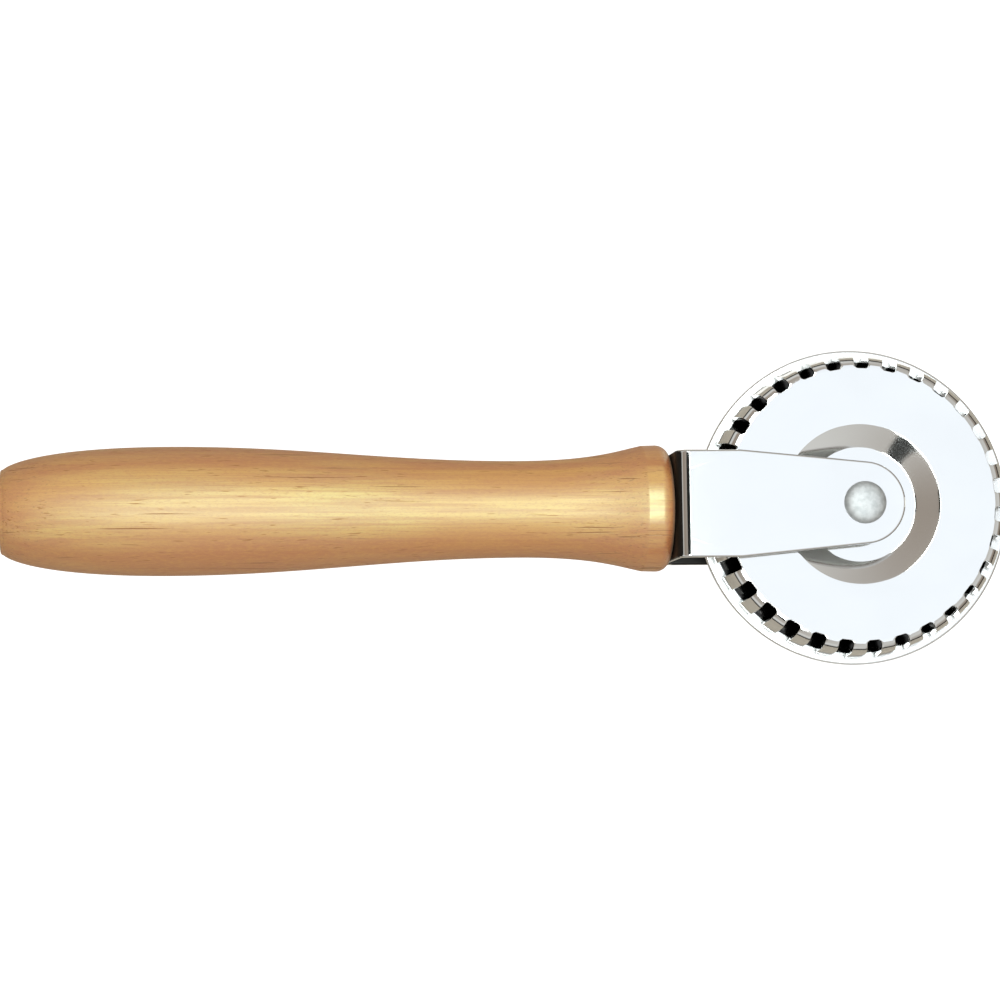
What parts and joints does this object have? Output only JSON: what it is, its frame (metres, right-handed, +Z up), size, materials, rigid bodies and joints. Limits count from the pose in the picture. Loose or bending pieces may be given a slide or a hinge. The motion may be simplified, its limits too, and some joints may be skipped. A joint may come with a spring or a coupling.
{
  "type": "pastry crimper",
  "caption": "Hand-held pastry crimper: turned wooden handle, bent steel yoke and a rolling wheel with a plain cutter between two slotted crimping crowns.",
  "frame": {"origin": "on the surface that the tool lies on, under the middle of its length", "axes": "+X from the butt of the handle to the wheel, +Z up along the axle of the wheel"},
  "size_m": [0.1818, 0.0572, 0.0261],
  "materials": {
    "varnished_wood": "glossy clear varnish over honey-coloured hardwood with reddish streaks",
    "polished_steel": "mirror-polished stainless steel",
    "satin_steel": "satin headed rivet",
    "turned_steel": "plain turned steel"
  },
  "bodies": {
    "frame": {"handle": "varnished_wood", "yoke": "polished_steel", "yoke_screw": "turned_steel", "axle_rivet": "satin_steel", "front_thrust_collar": "turned_steel", "rear_thrust_collar": "turned_steel"},
    "wheel": {"cutter_disc": "polished_steel", "front_crimp_crown": "polished_steel", "rear_crimp_crown": "polished_steel", "hub_bush": "turned_steel", "front_spacer": "turned_steel", "rear_spacer": "turned_steel"}
  },
  "joints": [
    {"name": "wheel_spin", "type": "hinge", "parent": "frame", "child": "wheel", "pos_m": [0.06227, 0, 0.01295], "axis": [0, 0, 1], "continuous": true}
  ]
}
